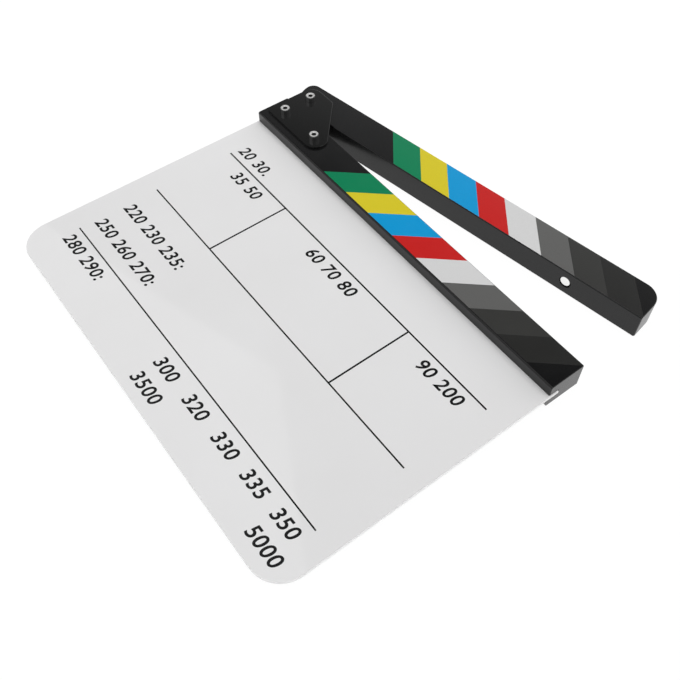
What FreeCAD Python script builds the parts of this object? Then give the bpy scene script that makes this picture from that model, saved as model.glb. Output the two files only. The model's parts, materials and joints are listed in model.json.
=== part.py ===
import FreeCAD, Part

import math
import os

from FreeCAD import Vector

# Clapperboard lying on its back: a white slate board sits in a slot along the lower
# stick, and the upper stick turns about one pivot screw under a hinge plate.
# Frame: origin at the middle of the lower stick's underside, +X along the sticks towards
# their free ends, +Y towards the upper stick, +Z out of the printed face. Millimetres.

# Slate board
BOARD_WIDTH = 300.0
BOARD_HEIGHT = 199.0
BOARD_THICKNESS = 2.5
BOARD_CORNER_RADIUS = 20.0
BOARD_EDGE_BREAK = 0.3

# Sticks, which end a small step short of the board's sides
END_STEP = 0.6
STICK_WIDTH = 25.8
STICK_THICKNESS = 19.0
STICK_FRONT_ROUND = 1.2
STICK_EDGE_BREAK = 0.5
STICK_END_BREAK = 0.3
TIP_OUTER_RADIUS = 11.5
TIP_INNER_RADIUS = 1.2
HINGE_OUTER_RADIUS = 6.5
HINGE_INNER_RADIUS = 18.5

# Slot that holds the board, with a lower lip that reaches further under it
SLOT_FLOOR = 8.1
SLOT_DEPTH = 7.2
SLOT_CLEARANCE = 0.1
SLOT_END_ROOM = 0.2
LOWER_LIP_REACH = 3.5

# Stripe film on the printed face of each stick
FILM_THICKNESS = 0.15

# Hinge layout
OPEN_ANGLE = 10.0
PIVOT_FROM_END = 14.15
PIVOT_TO_INNER_FACE = 8.7
CLOSED_GAP = 2.45
FIXING_FROM_SLOT = 7.3
FIXING_SPACING = 35.5

# Hinge plate
PLATE_THICKNESS = 1.6
PLATE_PIVOT_REACH = 11.25
PLATE_FRONT_REACH = 8.6
PLATE_SLANT_REACH = 9.9
PLATE_SHOULDER_REACH = 12.6
PLATE_CORNER_RADIUS = 9.0
PLATE_FOOT_RADIUS = 9.0
PLATE_HEEL_RADIUS = 3.0
PLATE_SHOULDER_RADIUS = 2.5
PLATE_EDGE_BREAK = 0.3

# Cap screws, inserts and the friction washer
SCREW_DIAMETER = 4.0
SCREW_END_ROOM = 0.6
HEAD_DIAMETER = 7.0
HEAD_HEIGHT = 4.0
HEAD_EDGE_BREAK = 0.4
SOCKET_SPAN = 3.0
SOCKET_DEPTH = 2.2
SOCKET_FLARE = 0.4
INSERT_DIAMETER = 6.0
INSERT_LENGTH = 10.0
WASHER_DIAMETER = 11.0
WASHER_THICKNESS = 1.0

# Magnets in the two facing sides
MAGNET_DIAMETER = 8.0
MAGNET_LENGTH = 4.0
MAGNET_EDGE_BREAK = 0.35
MAGNET_RECESS = 0.6
MAGNET_FROM_PIVOT = 232.1

# Clearances
RUNNING_GAP = 0.3
PIVOT_CLEARANCE = 0.05
SLIP_CLEARANCE = 0.08
THREAD_CLEARANCE = 0.02
HOLE_CLEARANCE = 0.2
POCKET_CLEARANCE = 0.2

# Places worked out from the dimensions above
STICK_LENGTH = BOARD_WIDTH - 2 * END_STEP
HINGE_END_X = -STICK_LENGTH / 2
FRONT_FACE_Y = -STICK_WIDTH / 2
BACK_FACE_Y = STICK_WIDTH / 2
SLOT_END_Y = FRONT_FACE_Y + SLOT_DEPTH
PIVOT_X = HINGE_END_X + PIVOT_FROM_END
PIVOT_Y = BACK_FACE_Y + CLOSED_GAP + PIVOT_TO_INNER_FACE
INNER_FACE_Y = PIVOT_Y - PIVOT_TO_INNER_FACE
OUTER_FACE_Y = INNER_FACE_Y + STICK_WIDTH
FIXING_Y = SLOT_END_Y + FIXING_FROM_SLOT
FIXING_LEFT_X = PIVOT_X
FIXING_RIGHT_X = PIVOT_X + FIXING_SPACING
MAGNET_X = PIVOT_X + MAGNET_FROM_PIVOT
MAGNET_Z = STICK_THICKNESS / 2
PLATE_BOTTOM_Z = STICK_THICKNESS + FILM_THICKNESS
PLATE_TOP_Z = PLATE_BOTTOM_Z + PLATE_THICKNESS
UPPER_TOP_Z = STICK_THICKNESS - RUNNING_GAP
WASHER_TOP_Z = PLATE_BOTTOM_Z - SLIP_CLEARANCE
WASHER_SEAT_Z = WASHER_TOP_Z - WASHER_THICKNESS
SCREW_HOLE_RADIUS = SCREW_DIAMETER / 2 + HOLE_CLEARANCE
POCKET_RADIUS = MAGNET_DIAMETER / 2 + POCKET_CLEARANCE
POCKET_DEPTH = MAGNET_RECESS + MAGNET_LENGTH

UP = Vector(0, 0, 1)
ALONG = Vector(1, 0, 0)
BACKWARDS = Vector(0, 1, 0)
FORWARDS = Vector(0, -1, 0)


def joined_wire(arcs):
    """Closed wire through (start, middle, end) points of arcs, with straight stretches between them."""
    edges = []
    for index, (start, middle, end) in enumerate(arcs):
        if start.distanceToPoint(end) > 1e-6:
            edges.append(Part.Arc(start, middle, end).toShape())
        following = arcs[(index + 1) % len(arcs)][0]
        if end.distanceToPoint(following) > 1e-6:
            edges.append(Part.LineSegment(end, following).toShape())
    return Part.Wire(edges)


def rounded_wire(corners):
    """Closed wire at z = 0 through (x, y, radius) corners, each rounded to its radius."""
    arcs = []
    for index, (x, y, radius) in enumerate(corners):
        corner = Vector(x, y, 0)
        before = Vector(*corners[index - 1][:2], 0)
        after = Vector(*corners[(index + 1) % len(corners)][:2], 0)
        if radius == 0:
            arcs.append((corner, corner, corner))
            continue
        to_before = (before - corner).normalize()
        to_after = (after - corner).normalize()
        half_angle = to_before.getAngle(to_after) / 2
        setback = radius / math.tan(half_angle)
        bisector = (to_before + to_after).normalize()
        nearest = corner + bisector * (radius / math.sin(half_angle) - radius)
        arcs.append((corner + to_before * setback, nearest, corner + to_after * setback))
    return joined_wire(arcs)


def slab(wire, bottom, thickness):
    """Flat piece with the wire's outline, standing on z = bottom."""
    solid = Part.Face(wire).extrude(UP * thickness)
    solid.translate(UP * bottom)
    return solid


def disc(x, y, bottom, radius, height):
    """Upright cylinder."""
    return Part.makeCylinder(radius, height, Vector(x, y, bottom), UP)


def edges_at(solid, level, axis="Z"):
    """Edges that lie wholly in the plane where a coordinate is level."""
    def flat(edge):
        low = getattr(edge.BoundBox, axis + "Min")
        high = getattr(edge.BoundBox, axis + "Max")
        return abs(low - level) < 1e-6 and abs(high - level) < 1e-6
    return [edge for edge in solid.Edges if flat(edge)]


def turned_open(shape):
    """Upper-stick piece, drawn closed and parallel, turned to the open rest pose."""
    opened = shape.copy()
    opened.rotate(Vector(PIVOT_X, PIVOT_Y, 0), UP, OPEN_ANGLE)
    return opened


def slate_board():
    """Sheet with two round lower corners, its top edge inside the slot."""
    top = SLOT_END_Y - SLOT_END_ROOM
    bottom = top - BOARD_HEIGHT
    side = BOARD_WIDTH / 2
    outline = [
        (-side, bottom, BOARD_CORNER_RADIUS),
        (side, bottom, BOARD_CORNER_RADIUS),
        (side, top, 0),
        (-side, top, 0),
    ]
    underside = SLOT_FLOOR + SLOT_CLEARANCE
    board = slab(rounded_wire(outline), underside, BOARD_THICKNESS)
    rims = edges_at(board, underside) + edges_at(board, underside + BOARD_THICKNESS)
    return board.makeChamfer(BOARD_EDGE_BREAK, rims)


def lower_stick():
    """Straight bar with the board's slot, two insert holes and a magnet pocket."""
    slot_bottom = SLOT_FLOOR
    slot_top = SLOT_FLOOR + BOARD_THICKNESS + 2 * SLOT_CLEARANCE
    section = [
        (FRONT_FACE_Y, 0, STICK_EDGE_BREAK),
        (BACK_FACE_Y, 0, STICK_EDGE_BREAK),
        (BACK_FACE_Y, STICK_THICKNESS, STICK_EDGE_BREAK),
        (FRONT_FACE_Y, STICK_THICKNESS, STICK_FRONT_ROUND),
        (FRONT_FACE_Y, slot_top, 0),
        (SLOT_END_Y, slot_top, 0),
        (SLOT_END_Y, slot_bottom, 0),
        (FRONT_FACE_Y - LOWER_LIP_REACH, slot_bottom, STICK_EDGE_BREAK),
    ]
    bar = slab(rounded_wire(section), 0, STICK_LENGTH)
    # Turn the section's (x, y) into (y, z), so that the bar runs along +X.
    bar.rotate(Vector(0, 0, 0), Vector(1, 1, 1), 120)
    bar.translate(Vector(HINGE_END_X, 0, 0))
    rims = edges_at(bar, HINGE_END_X, "X") + edges_at(bar, -HINGE_END_X, "X")
    bar = bar.makeChamfer(STICK_END_BREAK, rims)
    for x in (FIXING_LEFT_X, FIXING_RIGHT_X):
        insert_bottom = STICK_THICKNESS - INSERT_LENGTH
        bar = bar.cut(disc(x, FIXING_Y, insert_bottom, INSERT_DIAMETER / 2, INSERT_LENGTH))
    pocket_end = Vector(MAGNET_X, BACK_FACE_Y - POCKET_DEPTH, MAGNET_Z)
    return bar.cut(Part.makeCylinder(POCKET_RADIUS, POCKET_DEPTH, pocket_end, BACKWARDS))


def upper_outline(inset):
    """Plan outline of the upper stick, closed and parallel, drawn in by inset.

    Round the hinge end a large arc leaves the inner face and a small one reaches the outer face.
    Where the stick is too narrow for a straight stretch between them, they run into each other.
    """
    def arc(centre, radius, start, end):
        return [centre + way * radius for way in (start, (start + end).normalize(), end)]
    left = HINGE_END_X + inset
    right = left + STICK_LENGTH - 2 * inset
    inner = INNER_FACE_Y + inset
    outer = OUTER_FACE_Y - inset
    tip_inner = TIP_INNER_RADIUS - inset
    tip_outer = TIP_OUTER_RADIUS - inset
    small = HINGE_OUTER_RADIUS - inset
    large = HINGE_INNER_RADIUS - inset
    overlap = max(0.0, small + large - (outer - inner))
    small_centre = Vector(left + small, outer - small, 0)
    large_centre = small_centre + Vector(math.sqrt((large - small) ** 2 - overlap ** 2), 0, 0)
    large_centre.y = inner + large
    meeting = Vector(small_centre.x - large_centre.x, -overlap, 0).normalize()
    return joined_wire([
        arc(Vector(right - tip_inner, inner + tip_inner, 0), tip_inner, FORWARDS, ALONG),
        arc(Vector(right - tip_outer, outer - tip_outer, 0), tip_outer, ALONG, BACKWARDS),
        arc(small_centre, small, BACKWARDS, meeting),
        arc(large_centre, large, meeting, FORWARDS),
    ])


def upper_stick():
    """Bar with a round hinge end, a round tip corner, a washer seat and a magnet pocket."""
    bar = slab(upper_outline(0), 0, UPPER_TOP_Z)
    bar = bar.makeChamfer(STICK_EDGE_BREAK, edges_at(bar, 0) + edges_at(bar, UPPER_TOP_Z))
    seat_radius = WASHER_DIAMETER / 2 + HOLE_CLEARANCE
    bar = bar.cut(disc(PIVOT_X, PIVOT_Y, WASHER_SEAT_Z, seat_radius, UPPER_TOP_Z - WASHER_SEAT_Z))
    insert_bottom = WASHER_SEAT_Z - INSERT_LENGTH
    bar = bar.cut(disc(PIVOT_X, PIVOT_Y, insert_bottom, INSERT_DIAMETER / 2, INSERT_LENGTH))
    mouth = Vector(MAGNET_X, INNER_FACE_Y, MAGNET_Z)
    return turned_open(bar.cut(Part.makeCylinder(POCKET_RADIUS, POCKET_DEPTH, mouth, BACKWARDS)))


def lower_stripe_film():
    """Printed film on the lower stick's flat top, with holes for the fixing screws."""
    left = HINGE_END_X + STICK_EDGE_BREAK
    front = FRONT_FACE_Y + STICK_FRONT_ROUND
    back = BACK_FACE_Y - STICK_EDGE_BREAK
    outline = [(left, front, 0), (-left, front, 0), (-left, back, 0), (left, back, 0)]
    film = slab(rounded_wire(outline), STICK_THICKNESS, FILM_THICKNESS)
    for x in (FIXING_LEFT_X, FIXING_RIGHT_X):
        film = film.cut(disc(x, FIXING_Y, STICK_THICKNESS, SCREW_HOLE_RADIUS, FILM_THICKNESS))
    return film


def upper_stripe_film():
    """Printed film on the upper stick's flat top, with a hole round the washer."""
    film = slab(upper_outline(STICK_EDGE_BREAK), UPPER_TOP_Z, FILM_THICKNESS)
    seat_radius = WASHER_DIAMETER / 2 + HOLE_CLEARANCE
    return turned_open(film.cut(disc(PIVOT_X, PIVOT_Y, UPPER_TOP_Z, seat_radius, FILM_THICKNESS)))


def hinge_plate():
    """Plate screwed to the lower stick, reaching over the upper stick's round end."""
    left = PIVOT_X - PLATE_PIVOT_REACH
    front = FIXING_Y - PLATE_FRONT_REACH
    back = PIVOT_Y + PLATE_PIVOT_REACH
    shoulder = PIVOT_X + PLATE_SHOULDER_REACH
    # The slanting edge runs from the shoulder past the right-hand screw at a set distance.
    across = FIXING_RIGHT_X - shoulder
    down = FIXING_Y - back
    slant = math.atan2(down, across) + math.asin(PLATE_SLANT_REACH / math.hypot(across, down))
    foot = shoulder + (front - back) / math.tan(slant)
    outline = [
        (left, front, PLATE_HEEL_RADIUS),
        (foot, front, PLATE_FOOT_RADIUS),
        (shoulder, back, PLATE_SHOULDER_RADIUS),
        (left, back, PLATE_CORNER_RADIUS),
    ]
    plate = slab(rounded_wire(outline), PLATE_BOTTOM_Z, PLATE_THICKNESS)
    plate = plate.makeFillet(PLATE_EDGE_BREAK, edges_at(plate, PLATE_TOP_Z))
    for x in (FIXING_LEFT_X, FIXING_RIGHT_X):
        plate = plate.cut(disc(x, FIXING_Y, PLATE_BOTTOM_Z, SCREW_HOLE_RADIUS, PLATE_THICKNESS))
    pivot_radius = SCREW_DIAMETER / 2 + PIVOT_CLEARANCE
    return plate.cut(disc(PIVOT_X, PIVOT_Y, PLATE_BOTTOM_Z, pivot_radius, PLATE_THICKNESS))


def hexagon_prism(x, y, bottom, span, height):
    """Upright six-sided prism, measured across its flats."""
    corner_radius = span / math.sqrt(3)
    angles = [index * math.pi / 3 for index in range(6)]
    corners = [(x + corner_radius * math.cos(a), y + corner_radius * math.sin(a), 0) for a in angles]
    return slab(rounded_wire(corners), bottom, height)


def cap_screw(x, y, seat, shank):
    """Cap screw with a hexagon socket, its head standing on z = seat."""
    top = seat + HEAD_HEIGHT
    head = disc(x, y, seat, HEAD_DIAMETER / 2, HEAD_HEIGHT)
    head = head.makeChamfer(HEAD_EDGE_BREAK, edges_at(head, top))
    stem = disc(x, y, seat - shank, SCREW_DIAMETER / 2, shank)
    socket = hexagon_prism(x, y, top - SOCKET_DEPTH, SOCKET_SPAN, SOCKET_DEPTH)
    flare_bottom = Vector(x, y, top - SOCKET_FLARE)
    flare = Part.makeCone(SOCKET_SPAN / 2, SOCKET_SPAN / 2 + SOCKET_FLARE, SOCKET_FLARE, flare_bottom, UP)
    return head.fuse(stem).cut(socket).cut(flare)


def threaded_insert(x, y, top):
    """Tube pressed into a stick, with its mouth at z = top."""
    tube = disc(x, y, top - INSERT_LENGTH, INSERT_DIAMETER / 2, INSERT_LENGTH)
    bore = disc(x, y, top - INSERT_LENGTH, SCREW_DIAMETER / 2 + THREAD_CLEARANCE, INSERT_LENGTH)
    return tube.cut(bore)


def fixing_screw(x):
    """Screw through the plate into the lower stick."""
    shank = PLATE_TOP_Z - STICK_THICKNESS + INSERT_LENGTH - SCREW_END_ROOM
    return cap_screw(x, FIXING_Y, PLATE_TOP_Z, shank)


def pivot_screw():
    """Screw that turns in the plate's hole and holds the upper stick."""
    seat = PLATE_TOP_Z + SLIP_CLEARANCE
    shank = seat - WASHER_SEAT_Z + INSERT_LENGTH - SCREW_END_ROOM
    return turned_open(cap_screw(PIVOT_X, PIVOT_Y, seat, shank))


def friction_washer():
    """Plastic ring between the plate and the upper stick."""
    ring = disc(PIVOT_X, PIVOT_Y, WASHER_SEAT_Z, WASHER_DIAMETER / 2, WASHER_THICKNESS)
    return ring.cut(disc(PIVOT_X, PIVOT_Y, WASHER_SEAT_Z, SCREW_HOLE_RADIUS, WASHER_THICKNESS))


def magnet(face_y, direction):
    """Magnet disc set a little below a stick's side face."""
    mouth = Vector(MAGNET_X, face_y, MAGNET_Z) + direction * MAGNET_RECESS
    body = Part.makeCylinder(MAGNET_DIAMETER / 2, MAGNET_LENGTH, mouth, direction)
    return body.makeChamfer(MAGNET_EDGE_BREAK, edges_at(body, mouth.y, "Y"))


PIECES = {
    "slate_board": slate_board(),
    "lower_stick": lower_stick(),
    "upper_stick": upper_stick(),
    "lower_stripe_film": lower_stripe_film(),
    "upper_stripe_film": upper_stripe_film(),
    "hinge_plate": hinge_plate(),
    "fixing_screw_left": fixing_screw(FIXING_LEFT_X),
    "fixing_screw_right": fixing_screw(FIXING_RIGHT_X),
    "fixing_insert_left": threaded_insert(FIXING_LEFT_X, FIXING_Y, STICK_THICKNESS),
    "fixing_insert_right": threaded_insert(FIXING_RIGHT_X, FIXING_Y, STICK_THICKNESS),
    "pivot_screw": pivot_screw(),
    "pivot_insert": threaded_insert(PIVOT_X, PIVOT_Y, WASHER_SEAT_Z),
    "friction_washer": friction_washer(),
    "lower_magnet": magnet(BACK_FACE_Y, FORWARDS),
    "upper_magnet": turned_open(magnet(INNER_FACE_Y, BACKWARDS)),
}

os.makedirs("parts", exist_ok=True)
for name, shape in PIECES.items():
    shape.exportStep("parts/" + name + ".step")
    print(name, "valid", shape.isValid(), "solids", len(shape.Solids), "volume", round(shape.Volume, 2))
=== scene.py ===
"""Clapperboard: finishes of its CAD pieces, the print on its slate board, studio light and camera."""

import json
import math

import bmesh
import bpy
from mathutils import Matrix, Quaternion, Vector


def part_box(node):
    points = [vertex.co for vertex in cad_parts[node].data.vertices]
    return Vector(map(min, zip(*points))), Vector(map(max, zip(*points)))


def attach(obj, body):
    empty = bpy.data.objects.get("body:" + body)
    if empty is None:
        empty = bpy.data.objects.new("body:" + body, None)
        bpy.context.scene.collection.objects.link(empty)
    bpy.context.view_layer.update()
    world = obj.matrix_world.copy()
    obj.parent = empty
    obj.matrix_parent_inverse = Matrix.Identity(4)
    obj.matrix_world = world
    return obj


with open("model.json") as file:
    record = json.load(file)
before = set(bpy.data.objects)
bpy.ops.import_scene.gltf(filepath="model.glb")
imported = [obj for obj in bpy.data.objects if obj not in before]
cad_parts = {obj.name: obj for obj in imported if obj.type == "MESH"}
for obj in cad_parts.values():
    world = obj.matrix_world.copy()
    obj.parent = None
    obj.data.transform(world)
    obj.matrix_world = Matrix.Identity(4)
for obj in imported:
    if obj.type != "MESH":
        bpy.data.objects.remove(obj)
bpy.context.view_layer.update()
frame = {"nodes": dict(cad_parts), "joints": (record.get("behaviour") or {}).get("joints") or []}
nodes = frame["nodes"]
MM = 0.001
UP = (0.0, 0.0, 1.0)

# Camera at the photograph's viewing angle
CAMERA_PLACE = Vector((280.3, -254.75, 417.7)) * MM
CAMERA_AIM = Vector((45.7, -84.35, 10.7)) * MM
CAMERA_ROLL_DEGREES = -0.97
CAMERA_LENS_MM = 44.16
CAMERA_SENSOR_MM = 36.0

# Stripes, which slant one way on the lower film and the other way on the upper film
STRIPE_PITCH = 24.70 * MM
STRIPE_SLANT = 0.887
LOWER_FIRST_STRIPE = -59.87 * MM
UPPER_FIRST_STRIPE_FROM_PIVOT = 80.3 * MM
UPPER_STICK_DEGREES = 10.0
STRIPE_COLOURS = (
    ("black", (0.0070, 0.0071, 0.0074)),
    ("green", (0.0005, 0.2200, 0.0900)),
    ("yellow", (0.7000, 0.5900, 0.0220)),
    ("blue", (0.0020, 0.3230, 0.6800)),
    ("red", (0.5870, 0.0140, 0.0130)),
    ("light grey", (0.6950, 0.6950, 0.6950)),
    ("mid grey", (0.1280, 0.1280, 0.1250)),
    ("dark grey", (0.0420, 0.0420, 0.0400)),
    ("darker grey", (0.0240, 0.0240, 0.0230)),
    ("black", (0.0070, 0.0071, 0.0074)),
)

# Colours of the finishes, where a pair is the two ends that clouds, grain or patches vary between
BOARD_COLOURS = ((0.830, 0.826, 0.828), (0.850, 0.848, 0.852))
# Painted glow: the board's upright edge faces take this paler colour than its top
BOARD_EDGE_GLOW_COLOUR = (0.96, 0.96, 0.96)
LACQUER_COLOURS = ((0.0050, 0.0051, 0.0053), (0.0085, 0.0086, 0.0088))
PLATE_COLOURS = ((0.0045, 0.0047, 0.0046), (0.0070, 0.0073, 0.0071))
BRASS_COLOURS = ((0.62, 0.44, 0.17), (0.72, 0.54, 0.25))
STEEL_COLOURS = ((0.90, 0.90, 0.89), (0.95, 0.95, 0.94))
# Painted shade: the upright flank of a screw head takes this darker colour
STEEL_SIDE_SHADE_COLOUR = (0.60, 0.60, 0.60)
# Painted shade: the outer edge of a screw head's top takes this dark colour
STEEL_RIM_SHADE_COLOUR = (0.10, 0.10, 0.10)
# Painted shade: colour deep inside the screw sockets
SOCKET_SHADE_COLOUR = (0.03, 0.03, 0.03)
NICKEL_COLOURS = ((0.93, 0.93, 0.92), (0.97, 0.97, 0.96))
# Painted shade round the edge of each magnet disc
MAGNET_RIM_SHADE_COLOUR = (0.002, 0.002, 0.002)
NYLON_COLOURS = ((0.70, 0.69, 0.64), (0.78, 0.77, 0.73))
INK_COLOURS = ((0.0030, 0.0030, 0.0034), (0.0060, 0.0060, 0.0066))

# Rounded paint, at all edges of the sticks and at the far edge of the hinge plate
LACQUER_EDGE = 0.5 * MM
PLATE_EDGE = 0.7 * MM
PLATE_SOFT_SIDE = (0.3, 0.954, 0.0)
PLATE_SOFT_FADE = (0.03, 0.10)

# Least height of the normal, from 0 to 1, of a face that counts as a top
TOP_SHARE = 0.3

# Metal: turning rings and patches in waves a metre, and roughness of the brass
RING_SCALE = 9000.0
RING_DEPTH = 0.002 * MM
RING_STRENGTH = 0.3
PATCH_SCALE = 500.0
BRASS_ROUGHNESS = (0.20, 0.34)

# Screw heads: painted shade inside the socket, round the outer edge of the top and on the upright
# flank; the turned top is duller than the flank
SOCKET_RADIUS = 1.8 * MM
SOCKET_SHADE_DEPTHS = (-0.5 * MM, -0.2 * MM)
SHADED_HEAD_RIM = (2.95 * MM, 3.20 * MM)
HEAD_SIDE_ROUGHNESS = 0.07
HEAD_TOP_ROUGHNESS = 0.50

# Magnets: bright face, and painted shade round the edge of the disc
SHADED_MAGNET_RIM = (3.25 * MM, 3.45 * MM)

# Print on the slate board: rules, and plain rising numbers as on a dial
PRINT_THICKNESS = 0.02 * MM
PRINT_MIDDLE = Vector((0.0, -108.0, 0.0)) * MM
PRINT_TURN_DEGREES = 0.22
RULE_WIDTHS = (1.12 * MM, 1.0 * MM, 0.95 * MM)
DIVIDER_WIDTH = 1.18 * MM
RULE_LEFT = -132.6 * MM
RULE_RIGHT = 134.6 * MM
RULE_HEIGHTS = (-47.95 * MM, -108.2 * MM, -167.05 * MM)
DIVIDER_PLACES = (-63.9 * MM, 66.0 * MM)
NUMERAL_HEIGHT = 9.0 * MM
NUMERAL_SLANT = 0.16
NUMERAL_BOLDNESS = 0.018
NUMERAL_SPACING = 1.08
NUMERAL_CURVE_STEPS = 6
TEXT_HALF_DEPTH = 0.5

# Each number's text, which point of it is placed, that point's X, and the baseline's Y
NUMERALS = (
    ("20 30.", "left", -130.4 * MM, -43.15 * MM),
    ("35 50", "middle", -97.8 * MM, -61.55 * MM),
    ("60 70 80", "middle", 0.2 * MM, -61.55 * MM),
    ("90 200", "middle", 105.0 * MM, -61.35 * MM),
    ("220 230 235:", "left", -130.4 * MM, -135.55 * MM),
    ("250 260 270:", "left", -130.4 * MM, -157.15 * MM),
    ("280 290:", "left", -130.4 * MM, -180.75 * MM),
    ("300", "left", -8.0 * MM, -182.35 * MM),
    ("320", "left", 24.5 * MM, -182.25 * MM),
    ("330", "left", 55.5 * MM, -182.15 * MM),
    ("335", "left", 84.5 * MM, -181.95 * MM),
    ("350", "left", 113.0 * MM, -181.75 * MM),
    ("3500", "left", -7.6 * MM, -198.15 * MM),
    ("5000", "left", 113.0 * MM, -197.35 * MM),
)

# Sky: brightest overhead, white low down in front, grey at the sides and darker by the camera.
# Behind, where the gloss shows it, its level is graded along a direction that points back and down.
FRONT_SIDE = (0.707, -0.707, 0.0)
FRONT_FADE = (-0.34, -0.04)
CAMERA_FADE = (0.35, 0.60)
SIDE_LEVEL = 0.5
CAMERA_LEVEL = 0.35
OVERHEAD_LEVEL = 1.77
OVERHEAD_FADE = (0.68, 0.82)
HORIZON_LEVEL = 1.3
HORIZON_FADE = (0.12, 0.26)
BACK_DOWN = (0.0, 0.447, -0.894)
BACK_LEVELS = (
    (-0.52, 0.05),
    (-0.42, 0.14),
    (-0.37, 0.32),
    (-0.30, 0.55),
    (-0.15, 0.75),
    (0.0, 0.9),
)
BACKDROP_LEVEL = 1.0

# Softbox and lamp, in metres and watts
SOFTBOX_STRENGTH = 0.8
SOFTBOX_CORNER = Vector((-0.537, 0.187, 1.0))
SOFTBOX_SIDE = 0.75
SOFTBOX_SIDES = 8
SOFTBOX_BISECTOR_DEGREES = 264.5
LAMP_PLACE = Vector((-0.25, 0.15, 0.55))
LAMP_AIM = Vector((0.0, -0.08, 0.0))
LAMP_SIZE = 0.35
LAMP_POWER = 0.62

# Floor, just under the object
FLOOR_SIZE = 20.0
FLOOR_DROP = 0.2 * MM
FLOOR_COLOUR = (0.9, 0.9, 0.9, 1.0)
FLOOR_WHITENESS = 1.05
FLOOR_WHITE_SHARE = 0.90
FLOOR_GLOSS_SHARE = 0.75

# Places of the colours among the inputs and outputs of a Mix node
MIX_COLOUR_INPUTS = (6, 7)
MIX_COLOUR_OUTPUT = 2
NOISE_ROUGHNESS = 0.55
EDGE_SAMPLES = 8


class Nodes:
    """Short ways to add nodes to the node tree of a material or a world."""

    def __init__(self, tree):
        self.tree = tree

    def set(self, socket, value):
        """Links an input to another node's output, or gives it a value."""
        if isinstance(value, bpy.types.NodeSocket):
            self.tree.links.new(value, socket)
        else:
            socket.default_value = value

    def put(self, node, **values):
        """Sets inputs of a node by name, where Base_Color stands for the input Base Color."""
        for key, value in values.items():
            self.set(node.inputs[key.replace("_", " ")], value)

    def fill(self, node, *values):
        """Sets a node's inputs in their order, and leaves out those that are None."""
        for index, value in enumerate(values):
            if value is not None:
                self.set(node.inputs[index], value)

    def add(self, kind, settings=None, **inputs):
        """A new node with those settings and inputs."""
        node = self.tree.nodes.new(kind)
        for key, value in (settings or {}).items():
            setattr(node, key, value)
        self.put(node, **inputs)
        return node

    def math(self, operation, first, second=None, third=None):
        """Result of a sum on numbers or linked values."""
        node = self.add("ShaderNodeMath", {"operation": operation})
        self.fill(node, first, second, third)
        return node.outputs["Value"]

    def vector(self, operation, first, second=None):
        """A vector sum, whose result is in its Vector or Value output."""
        node = self.add("ShaderNodeVectorMath", {"operation": operation})
        self.fill(node, first, second)
        return node.outputs

    def along(self, vector, direction):
        """How far a vector reaches along a direction."""
        return self.vector("DOT_PRODUCT", vector, direction)["Value"]

    def turned(self, place, degrees):
        """Place turned back about +Z, so that its X runs along a piece at that angle."""
        turn = (0.0, 0.0, math.radians(-degrees))
        return self.add("ShaderNodeMapping", Vector=place, Rotation=turn).outputs["Vector"]

    def place(self, turn_degrees=0.0, stretch=(1.0, 1.0, 1.0)):
        """Position on the piece, turned about +Z and stretched, so that it moves with the piece."""
        position = self.add("ShaderNodeTexCoord").outputs["Object"]
        turned = self.turned(position, turn_degrees)
        return self.add("ShaderNodeMapping", Vector=turned, Scale=stretch).outputs["Vector"]

    def place_from(self, point):
        """Position on the piece, counted from a point."""
        position = self.add("ShaderNodeTexCoord").outputs["Object"]
        return self.vector("SUBTRACT", position, point)["Vector"]

    def noise(self, place, scale, detail=3.0):
        """Noise between about 0.25 and 0.75 at so many waves a metre."""
        inputs = dict(Vector=place, Scale=scale, Detail=detail, Roughness=NOISE_ROUGHNESS)
        return self.add("ShaderNodeTexNoise", **inputs).outputs["Fac"]

    def spread(self, value, low, high, from_low=0.3, from_high=0.7):
        """Value moved from one range to another, and kept inside it."""
        node = self.add("ShaderNodeMapRange", Value=value)
        self.put(node, From_Min=from_low, From_Max=from_high, To_Min=low, To_Max=high)
        return node.outputs["Result"]

    def fade(self, value, low, high):
        """Share that goes from 0 to 1 as the value goes from low to high."""
        return self.spread(value, 0.0, 1.0, low, high)

    def blend(self, share, first, second):
        """Colour between two colours, each given as numbers or linked."""
        node = self.add("ShaderNodeMix", {"data_type": "RGBA"}, Factor=share)
        for index, colour in zip(MIX_COLOUR_INPUTS, (first, second)):
            linked = isinstance(colour, bpy.types.NodeSocket)
            self.set(node.inputs[index], colour if linked else (*colour, 1.0))
        return node.outputs[MIX_COLOUR_OUTPUT]

    def mottled(self, noise, colours):
        """Colour that varies with a noise between two colours."""
        return self.blend(self.spread(noise, 0.0, 1.0), *colours)

    def ramp(self, share, stops, steps=False):
        """Colour that changes along (share, colour) stops, gradually or in steps."""
        node = self.add("ShaderNodeValToRGB", Fac=share)
        node.color_ramp.interpolation = "CONSTANT" if steps else "LINEAR"
        elements = node.color_ramp.elements
        while len(elements) < len(stops):
            elements.new(1.0)
        for element, (place, colour) in zip(elements, stops):
            element.position = place
            element.color = (*colour, 1.0)
        return node.outputs["Color"]

    def turning(self, local):
        """Distance from the upright axis through the local zero, and fine turning rings round it."""
        flat = self.vector("MULTIPLY", local, (1.0, 1.0, 0.0))["Vector"]
        radius = self.vector("LENGTH", flat)["Value"]
        one_way = {"noise_dimensions": "1D"}
        rings = self.add("ShaderNodeTexNoise", one_way, W=radius, Scale=RING_SCALE, Detail=2.0)
        return radius, rings.outputs["Fac"]

    def soft_edges(self, radius):
        """Normal that is rounded near the edges of the mesh, as worn paint is."""
        return self.add("ShaderNodeBevel", {"samples": EDGE_SAMPLES}, Radius=radius).outputs["Normal"]

    def bump(self, height, distance, strength, normal=None):
        """Normal of a surface raised by height times distance, in metres."""
        node = self.add("ShaderNodeBump", Height=height, Distance=distance, Strength=strength)
        if normal is not None:
            self.put(node, Normal=normal)
        return node.outputs["Normal"]


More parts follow.
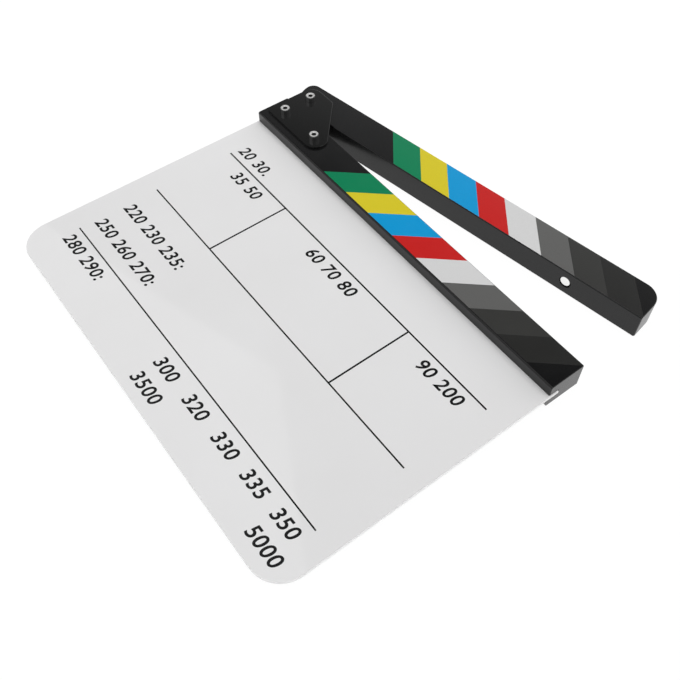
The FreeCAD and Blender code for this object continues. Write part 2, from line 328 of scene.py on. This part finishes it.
class Finish(Nodes):
    """One material and its surface shader."""

    def __init__(self, name):
        self.material = bpy.data.materials.new(name)
        self.material.use_nodes = True
        super().__init__(self.material.node_tree)
        self.shader = self.tree.nodes["Principled BSDF"]


def board_finish():
    """Polished white acrylic with faint clouds, wipe marks and waviness, and a painted glow that makes
    its upright edges paler.
    """
    finish = Finish("white_acrylic")
    place = finish.place()
    clouds = finish.noise(place, 14.0)
    wipes = finish.noise(finish.place(28.0, (9.0, 120.0, 1.0)), 1.0, detail=5.0)
    waves = finish.noise(place, 7.0, detail=1.0)
    specks = finish.noise(place, 900.0, detail=2.0)
    # Painted glow: faces that stand upright blend towards the paler edge colour
    upright = finish.along(finish.add("ShaderNodeTexCoord").outputs["Normal"], UP)
    edge = finish.spread(finish.math("ABSOLUTE", upright), 1.0, 0.0, 0.2, 0.9)
    colour = finish.blend(edge, finish.mottled(clouds, BOARD_COLOURS), BOARD_EDGE_GLOW_COLOUR)
    normal = finish.bump(waves, 0.02 * MM, 0.6)
    normal = finish.bump(specks, 0.001 * MM, 0.5, normal)
    finish.put(finish.shader, Base_Color=colour, Roughness=finish.spread(wipes, 0.015, 0.035))
    finish.put(finish.shader, IOR=1.49, Specular_IOR_Level=0.45, Normal=normal)
    return finish.material


def lacquer_finish(name, turn_degrees):
    """Semi-gloss black lacquer over wood, with faint grain along the stick."""
    finish = Finish(name)
    grain = finish.noise(finish.place(turn_degrees, (14.0, 420.0, 420.0)), 1.0, detail=6.0)
    dust = finish.noise(finish.place(), 1600.0, detail=2.0)
    patches = finish.noise(finish.place(), 45.0)
    colour = finish.mottled(grain, LACQUER_COLOURS)
    normal = finish.bump(grain, 0.012 * MM, 0.35, finish.soft_edges(LACQUER_EDGE))
    normal = finish.bump(dust, 0.004 * MM, 0.35, normal)
    finish.put(finish.shader, Base_Color=colour, Roughness=finish.spread(patches, 0.15, 0.24))
    finish.put(finish.shader, IOR=1.5, Specular_IOR_Level=0.34, Normal=normal)
    return finish.material


def stripe_finish(name, first, slant, origin, turn_degrees):
    """Printed film whose colours change at slanted lines, one pitch apart, along the stick."""
    finish = Finish(name)
    turned = finish.turned(finish.place_from(origin), turn_degrees)
    split = finish.add("ShaderNodeSeparateXYZ", Vector=turned).outputs
    lean = finish.math("MULTIPLY_ADD", split["Y"], -slant, split["X"])
    count = len(STRIPE_COLOURS)
    start = first - STRIPE_PITCH
    share = finish.fade(lean, start, start + count * STRIPE_PITCH)
    stops = [(index / count, colour) for index, (_, colour) in enumerate(STRIPE_COLOURS)]
    colour = finish.ramp(share, stops, steps=True)
    place = finish.place()
    ink = finish.noise(place, 2200.0, detail=2.0)
    smears = finish.noise(place, 60.0)
    paler = finish.add("ShaderNodeHueSaturation", Color=colour, Value=finish.spread(ink, 0.965, 1.035))
    finish.put(finish.shader, Base_Color=paler.outputs["Color"], IOR=1.5)
    finish.put(finish.shader, Roughness=finish.spread(smears, 0.12, 0.20))
    finish.put(finish.shader, Normal=finish.bump(ink, 0.001 * MM, 0.4))
    return finish.material


def plate_finish():
    """Gloss black paint on sheet metal, with a spray ripple, and thicker over the far edge."""
    finish = Finish("gloss_black_paint")
    place = finish.place()
    ripple = finish.noise(place, 520.0, detail=1.0)
    specks = finish.noise(place, 2600.0, detail=2.0)
    smears = finish.noise(place, 70.0)
    rounded = finish.soft_edges(PLATE_EDGE)
    behind = finish.along(rounded, PLATE_SOFT_SIDE)
    true = finish.add("ShaderNodeNewGeometry").outputs["Normal"]
    top = finish.math("GREATER_THAN", finish.along(true, UP), TOP_SHARE)
    flat = finish.blend(top, true, UP)
    soft = finish.blend(finish.fade(behind, *PLATE_SOFT_FADE), flat, rounded)
    normal = finish.bump(ripple, 0.006 * MM, 0.35, soft)
    finish.put(finish.shader, Base_Color=finish.mottled(specks, PLATE_COLOURS))
    finish.put(finish.shader, Roughness=finish.spread(smears, 0.04, 0.08))
    finish.put(finish.shader, IOR=1.5, Normal=normal)
    return finish.material


def brass_finish(name, centre):
    """Turned brass with fine rings round the upright axis through centre."""
    finish = Finish(name)
    local = finish.place_from(centre)
    rings = finish.turning(local)[1]
    colour = finish.mottled(finish.noise(local, PATCH_SCALE), BRASS_COLOURS)
    finish.put(finish.shader, Base_Color=colour, Metallic=1.0)
    finish.put(finish.shader, Roughness=finish.spread(rings, *BRASS_ROUGHNESS))
    finish.put(finish.shader, Normal=finish.bump(rings, RING_DEPTH, RING_STRENGTH))
    return finish.material


def screw_finish(name, low, high):
    """Bright plated steel with turning rings on the head's top and a polished flank, with painted shade
    in the socket, round the top's outer edge and on the flank.
    """
    finish = Finish(name)
    local = finish.place_from(Vector(((low.x + high.x) / 2, (low.y + high.y) / 2, high.z)))
    radius, rings = finish.turning(local)
    depth = finish.add("ShaderNodeSeparateXYZ", Vector=local).outputs["Z"]
    upward = finish.along(finish.add("ShaderNodeTexCoord").outputs["Normal"], UP)
    # Painted shade: darker further down inside the socket
    inside = finish.math("LESS_THAN", radius, SOCKET_RADIUS)
    deep_shade = finish.spread(depth, 1.0, 0.0, *SOCKET_SHADE_DEPTHS)
    bright = finish.mottled(finish.noise(local, PATCH_SCALE), STEEL_COLOURS)
    colour = finish.blend(finish.math("MULTIPLY", inside, deep_shade), bright, SOCKET_SHADE_COLOUR)
    # Painted shade: the upright flank is darker than the top
    side_shade = finish.spread(upward, 1.0, 0.0, 0.0, TOP_SHARE)
    colour = finish.blend(side_shade, colour, STEEL_SIDE_SHADE_COLOUR)
    # Painted shade: a dark band round the outer edge of the top
    top = finish.math("GREATER_THAN", upward, TOP_SHARE)
    rim_shade = finish.math("MULTIPLY", finish.fade(radius, *SHADED_HEAD_RIM), top)
    colour = finish.blend(rim_shade, colour, STEEL_RIM_SHADE_COLOUR)
    dull = finish.spread(upward, HEAD_SIDE_ROUGHNESS, HEAD_TOP_ROUGHNESS, 0.5, 0.9)
    roughness = finish.math("MULTIPLY", dull, finish.spread(rings, 0.8, 1.2))
    finish.put(finish.shader, Base_Color=colour, Metallic=1.0, Roughness=roughness)
    finish.put(finish.shader, Normal=finish.bump(rings, RING_DEPTH, RING_STRENGTH))
    return finish.material


def magnet_finish(name, low, high):
    """Nickel plating, with painted shade round the edge where the disc sits in its pocket."""
    finish = Finish(name)
    local = finish.place_from((low + high) / 2)
    # Painted shade: a dark ring round the edge of the disc
    flat = finish.vector("MULTIPLY", local, (1.0, 0.0, 1.0))["Vector"]
    rim_shade = finish.fade(finish.vector("LENGTH", flat)["Value"], *SHADED_MAGNET_RIM)
    patches = finish.noise(local, PATCH_SCALE)
    colour = finish.blend(rim_shade, finish.mottled(patches, NICKEL_COLOURS), MAGNET_RIM_SHADE_COLOUR)
    finish.put(finish.shader, Base_Color=colour, Metallic=1.0)
    finish.put(finish.shader, Roughness=finish.spread(patches, 0.12, 0.20))
    return finish.material


def nylon_finish():
    """Milky moulded plastic."""
    finish = Finish("natural_nylon")
    place = finish.place()
    grain = finish.noise(place, 1800.0)
    colour = finish.mottled(finish.noise(place, 220.0), NYLON_COLOURS)
    finish.put(finish.shader, Base_Color=colour, Roughness=finish.spread(grain, 0.45, 0.60))
    finish.put(finish.shader, Normal=finish.bump(grain, 0.004 * MM, 0.4))
    return finish.material


def ink_finish():
    """Screen-printed black ink with a slightly uneven film."""
    finish = Finish("printed_ink")
    place = finish.place()
    mesh_marks = finish.noise(place, 3200.0, detail=1.0)
    colour = finish.mottled(finish.noise(place, 240.0), INK_COLOURS)
    finish.put(finish.shader, Base_Color=colour, Roughness=finish.spread(mesh_marks, 0.28, 0.42))
    finish.put(finish.shader, Specular_IOR_Level=0.25)
    finish.put(finish.shader, Normal=finish.bump(mesh_marks, 0.002 * MM, 0.4))
    return finish.material


def dress(name, material):
    """Gives a CAD node its finish."""
    slots = nodes[name].data.materials
    slots.clear()
    slots.append(material)


def dress_all():
    """Finishes of all CAD nodes."""
    pivot = Vector(frame["joints"][0]["pos_m"])
    turn = UPPER_STICK_DEGREES
    lower = stripe_finish("stripes_lower", LOWER_FIRST_STRIPE, STRIPE_SLANT, Vector(), 0.0)
    upper = stripe_finish("stripes_upper", UPPER_FIRST_STRIPE_FROM_PIVOT, -STRIPE_SLANT, pivot, turn)
    dress("slate_board", board_finish())
    dress("lower_stick", lacquer_finish("black_lacquer_lower", 0.0))
    dress("upper_stick", lacquer_finish("black_lacquer_upper", turn))
    dress("lower_stripe_film", lower)
    dress("upper_stripe_film", upper)
    dress("hinge_plate", plate_finish())
    dress("friction_washer", nylon_finish())
    for name in ("fixing_insert_left", "fixing_insert_right", "pivot_insert"):
        low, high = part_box(name)
        dress(name, brass_finish(name + "_metal", (low + high) / 2))
    for name in ("fixing_screw_left", "fixing_screw_right", "pivot_screw"):
        dress(name, screw_finish(name + "_steel", *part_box(name)))
    for name in ("lower_magnet", "upper_magnet"):
        dress(name, magnet_finish(name + "_nickel", *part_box(name)))


def print_piece(name, mesh, ink):
    """A printed shape that rides with the slate board, and is turned slightly as the whole print is."""
    turn = Matrix.Rotation(math.radians(PRINT_TURN_DEGREES), 4, "Z")
    mesh.transform(Matrix.Translation(PRINT_MIDDLE) @ turn @ Matrix.Translation(-PRINT_MIDDLE))
    piece = bpy.data.objects.new(name, mesh)
    bpy.context.scene.collection.objects.link(piece)
    mesh.materials.clear()
    mesh.materials.append(ink)
    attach(piece, "slate")


def add_bar(build, left, right, bottom, top, base):
    """Adds one flat printed bar to a mesh being built."""
    size = Vector((right - left, top - bottom, PRINT_THICKNESS))
    middle = Vector(((left + right) / 2, (bottom + top) / 2, base + PRINT_THICKNESS / 2))
    matrix = Matrix.Translation(middle) @ Matrix.Diagonal((*size, 1.0))
    bmesh.ops.create_cube(build, size=1.0, matrix=matrix)


def printed_rules(ink, base):
    """Three rules across the board, and two dividers between the first two."""
    build = bmesh.new()
    for y, width in zip(RULE_HEIGHTS, RULE_WIDTHS):
        add_bar(build, RULE_LEFT, RULE_RIGHT, y - width / 2, y + width / 2, base)
    half = DIVIDER_WIDTH / 2
    top = RULE_HEIGHTS[0] - RULE_WIDTHS[0] / 2
    bottom = RULE_HEIGHTS[1] + RULE_WIDTHS[1] / 2
    for x in DIVIDER_PLACES:
        add_bar(build, x - half, x + half, bottom, top, base)
    mesh = bpy.data.meshes.new("printed_rules")
    build.to_mesh(mesh)
    build.free()
    print_piece("printed_rules", mesh, ink)


def text_mesh(text):
    """Mesh of a text of size 1, lying flat."""
    curve = bpy.data.curves.new("numerals", "FONT")
    curve.body = text
    curve.offset = NUMERAL_BOLDNESS
    curve.space_character = NUMERAL_SPACING
    curve.resolution_u = NUMERAL_CURVE_STEPS
    curve.extrude = TEXT_HALF_DEPTH
    holder = bpy.data.objects.new("numerals", curve)
    bpy.context.scene.collection.objects.link(holder)
    bpy.context.view_layer.update()
    seen = holder.evaluated_get(bpy.context.evaluated_depsgraph_get())
    mesh = bpy.data.meshes.new_from_object(seen)
    bpy.data.objects.remove(holder)
    bpy.data.curves.remove(curve)
    return mesh


def extent(mesh, axis):
    """Lowest and highest coordinate of a mesh along one axis."""
    values = [vertex.co[axis] for vertex in mesh.vertices]
    return min(values), max(values)


def printed_numerals(ink, base):
    """Plain oblique numbers on the board, each set from its left end or about its middle."""
    digit_bottom, digit_top = extent(text_mesh("0"), 1)
    scale = NUMERAL_HEIGHT / (digit_top - digit_bottom)
    for index, (text, anchor, place, baseline) in enumerate(NUMERALS):
        mesh = text_mesh(text)
        left, right = extent(mesh, 0)
        start = left if anchor == "left" else (left + right) / 2
        for vertex in mesh.vertices:
            height = (vertex.co.y - digit_bottom) * scale
            lean = NUMERAL_SLANT * (height - NUMERAL_HEIGHT / 2)
            x = place + (vertex.co.x - start) * scale + lean
            z = base + (vertex.co.z + TEXT_HALF_DEPTH) * PRINT_THICKNESS
            vertex.co = (x, baseline + height, z)
        print_piece("printed_numerals_" + str(index + 1), mesh, ink)


def add_floor():
    """White floor that keeps a faint shadow, and looks as white in gloss and metal."""
    half = FLOOR_SIZE / 2
    mesh = bpy.data.meshes.new("floor")
    outline = ((-half, -half), (half, -half), (half, half), (-half, half))
    mesh.from_pydata([(x, y, -FLOOR_DROP) for x, y in outline], [], [(0, 1, 2, 3)])
    floor = bpy.data.objects.new("floor", mesh)
    bpy.context.scene.collection.objects.link(floor)
    material = bpy.data.materials.new("white_floor")
    material.use_nodes = True
    material.node_tree.nodes.clear()
    paint = Nodes(material.node_tree)
    matt = paint.add("ShaderNodeBsdfDiffuse", Color=FLOOR_COLOUR).outputs["BSDF"]
    glow = paint.add("ShaderNodeEmission", Strength=FLOOR_WHITENESS).outputs["Emission"]
    rays = paint.add("ShaderNodeLightPath").outputs
    shiny = paint.math("MAXIMUM", rays["Is Glossy Ray"], rays["Is Transmission Ray"])
    mirrored = paint.math("MULTIPLY", shiny, FLOOR_GLOSS_SHARE)
    share = paint.math("MULTIPLY_ADD", rays["Is Camera Ray"], FLOOR_WHITE_SHARE, mirrored)
    mix = paint.add("ShaderNodeMixShader")
    paint.fill(mix, share, matt, glow)
    paint.add("ShaderNodeOutputMaterial", Surface=mix.outputs["Shader"])
    mesh.materials.append(material)


def add_softbox():
    """Eight-sided softbox above the left front, whose corner shows faintly in the glossy board.

    It shows in gloss alone, and neither lights nor shades matt surfaces.
    """
    radius = SOFTBOX_SIDE / (2 * math.sin(math.pi / SOFTBOX_SIDES))
    bisector = math.radians(SOFTBOX_BISECTOR_DEGREES)
    centre = SOFTBOX_CORNER + radius * Vector((math.cos(bisector), math.sin(bisector), 0.0))
    corners = []
    for index in range(SOFTBOX_SIDES):
        angle = bisector + math.pi + index * 2 * math.pi / SOFTBOX_SIDES
        corners.append(centre + radius * Vector((math.cos(angle), math.sin(angle), 0.0)))
    mesh = bpy.data.meshes.new("softbox")
    mesh.from_pydata(corners, [], [tuple(reversed(range(SOFTBOX_SIDES)))])
    softbox = bpy.data.objects.new("softbox", mesh)
    bpy.context.scene.collection.objects.link(softbox)
    softbox.visible_diffuse = False
    cloth = Finish("softbox_cloth")
    cloth.put(cloth.shader, Base_Color=(0.0, 0.0, 0.0, 1.0), Emission_Color=(1.0, 1.0, 1.0, 1.0))
    cloth.put(cloth.shader, Emission_Strength=SOFTBOX_STRENGTH)
    mesh.materials.append(cloth.material)


def add_lamp():
    """Soft lamp above the hinge, which lights the board more there than at its near corner.

    It doesn't show in gloss.
    """
    data = bpy.data.lights.new("lamp", "AREA")
    data.size = LAMP_SIZE
    data.energy = LAMP_POWER
    lamp = bpy.data.objects.new("lamp", data)
    bpy.context.scene.collection.objects.link(lamp)
    lamp.location = LAMP_PLACE
    lamp.rotation_euler = (LAMP_AIM - LAMP_PLACE).to_track_quat("-Z", "Y").to_euler()
    lamp.visible_glossy = False


def grey(level):
    """A neutral colour of that brightness."""
    return (level, level, level)


def add_world():
    """Sky round the object: brightest overhead, graded behind, and white where the camera sees it."""
    world = bpy.data.worlds.new("studio")
    world.use_nodes = True
    studio = Nodes(world.node_tree)
    direction = studio.add("ShaderNodeTexCoord").outputs["Generated"]
    height = studio.add("ShaderNodeSeparateXYZ", Vector=direction).outputs["Z"]
    forward = studio.along(direction, FRONT_SIDE)
    lowness = studio.along(direction, BACK_DOWN)
    back_stops = [(place / 2 + 0.5, grey(level)) for place, level in BACK_LEVELS]
    back = studio.ramp(studio.math("MULTIPLY_ADD", lowness, 0.5, 0.5), back_stops)
    by_camera = studio.fade(forward, *CAMERA_FADE)
    front = studio.blend(by_camera, grey(SIDE_LEVEL), grey(CAMERA_LEVEL))
    overhead = studio.fade(height, *OVERHEAD_FADE)
    front = studio.blend(overhead, front, grey(OVERHEAD_LEVEL))
    above_horizon = studio.fade(height, *HORIZON_FADE)
    front = studio.blend(above_horizon, grey(HORIZON_LEVEL), front)
    sky = studio.blend(studio.fade(forward, *FRONT_FADE), back, front)
    seen = studio.add("ShaderNodeLightPath").outputs["Is Camera Ray"]
    sky = studio.blend(seen, sky, grey(BACKDROP_LEVEL))
    studio.put(world.node_tree.nodes["Background"], Color=sky)
    bpy.context.scene.world = world


def add_camera():
    """Camera at the photograph's viewing angle, with its slight roll."""
    data = bpy.data.cameras.new("camera")
    data.sensor_width = CAMERA_SENSOR_MM
    data.lens = CAMERA_LENS_MM
    camera = bpy.data.objects.new("camera", data)
    bpy.context.scene.collection.objects.link(camera)
    level = (CAMERA_AIM - CAMERA_PLACE).to_track_quat("-Z", "Y")
    roll = Quaternion((0.0, 0.0, 1.0), math.radians(CAMERA_ROLL_DEGREES))
    camera.rotation_mode = "QUATERNION"
    camera.location = CAMERA_PLACE
    camera.rotation_quaternion = level @ roll
    bpy.context.scene.camera = camera


bpy.context.scene.view_settings.view_transform = "Standard"
add_camera()
add_world()
add_floor()
add_softbox()
add_lamp()
dress_all()
board_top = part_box("slate_board")[1].z
black_ink = ink_finish()
printed_rules(black_ink, board_top)
printed_numerals(black_ink, board_top)
